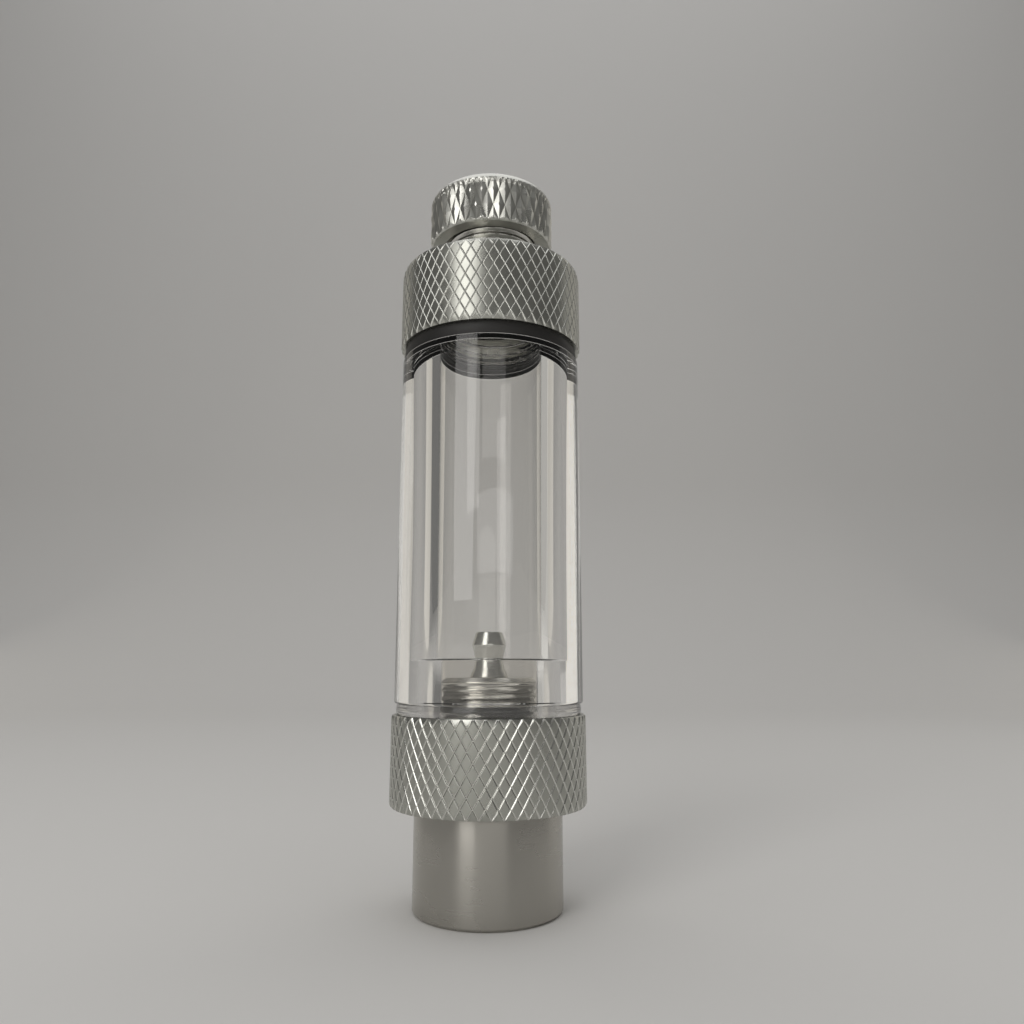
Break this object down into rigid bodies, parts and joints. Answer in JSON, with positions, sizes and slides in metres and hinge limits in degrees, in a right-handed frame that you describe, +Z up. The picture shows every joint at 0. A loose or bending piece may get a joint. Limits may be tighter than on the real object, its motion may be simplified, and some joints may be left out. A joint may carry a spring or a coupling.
{
  "type": "carbon dioxide bubble counter",
  "caption": "In-line aquarium bubble counter: clear acrylic chamber with a nozzle between two knurled aluminium end caps, a check valve barrel below and a hose nut on top.",
  "frame": {"origin": "centre of the flat bottom face of the check valve barrel", "axes": "+Z up the common axis of every turned piece, from the inlet to the hose nut; X and Y are equal, and one poppet rib lies on +X"},
  "size_m": [0.02, 0.02, 0.0776],
  "materials": {
    "turned_aluminium": "satin turned",
    "knurled_aluminium": "diamond knurled",
    "nozzle": "satin",
    "clear_acrylic": "clear polished acrylic",
    "black_rubber": "matte",
    "clear_silicone": "translucent silicone",
    "nylon": "matte",
    "brass": "turned",
    "spring_steel": "drawn wire"
  },
  "bodies": {
    "base": {"check_valve_body": "turned_aluminium", "base_collar": "knurled_aluminium", "bubble_nozzle": "nozzle", "inlet_washer": "nylon", "valve_seat": "brass", "valve_spring": "spring_steel"},
    "poppet": {"valve_poppet": "brass", "poppet_seal": "black_rubber"},
    "base_gasket": {"base_gasket": "clear_silicone"},
    "chamber": {"chamber": "clear_acrylic"},
    "cap_gasket": {"cap_gasket": "black_rubber"},
    "cap": {"top_cap": "knurled_aluminium", "outlet_stem": "turned_aluminium", "stem_washer": "nylon"},
    "clamp_ring": {"tube_clamp_ring": "nylon"},
    "nut": {"compression_nut": "knurled_aluminium"}
  },
  "joints": [
    {"name": "poppet_lift", "type": "slide", "parent": "base", "child": "poppet", "axis": [0, 0, 1], "range_m": [0, 0.0012], "stiffness_N_per_m": 150, "springref_m": -0.001, "deforming": ["valve_spring"]},
    {"name": "chamber_lift", "type": "slide", "parent": "base", "child": "base_gasket", "axis": [0, 0, 1], "range_m": [0, 0.0027]},
    {"name": "chamber_turn", "type": "hinge", "parent": "base_gasket", "child": "chamber", "pos_m": [0, 0, 0.02], "axis": [0, 0, 1], "range_deg": [0, 1297]},
    {"name": "cap_lift", "type": "slide", "parent": "chamber", "child": "cap_gasket", "axis": [0, 0, 1], "range_m": [0, 0.0032]},
    {"name": "cap_turn", "type": "hinge", "parent": "cap_gasket", "child": "cap", "pos_m": [0, 0, 0.058], "axis": [0, 0, 1], "range_deg": [0, 1153]},
    {"name": "nut_lift", "type": "slide", "parent": "cap", "child": "clamp_ring", "axis": [0, 0, 1], "range_m": [-0.0006, 0.00225]},
    {"name": "nut_turn", "type": "hinge", "parent": "clamp_ring", "child": "nut", "pos_m": [0, 0, 0.073], "axis": [0, 0, 1], "range_deg": [-289, 1081]}
  ],
  "couplings": [
    {"joint": "chamber_turn", "follows": "chamber_lift", "rad_per_m": 8377.6},
    {"joint": "cap_turn", "follows": "cap_lift", "rad_per_m": 6283.2},
    {"joint": "nut_turn", "follows": "nut_lift", "rad_per_m": 8377.6}
  ]
}
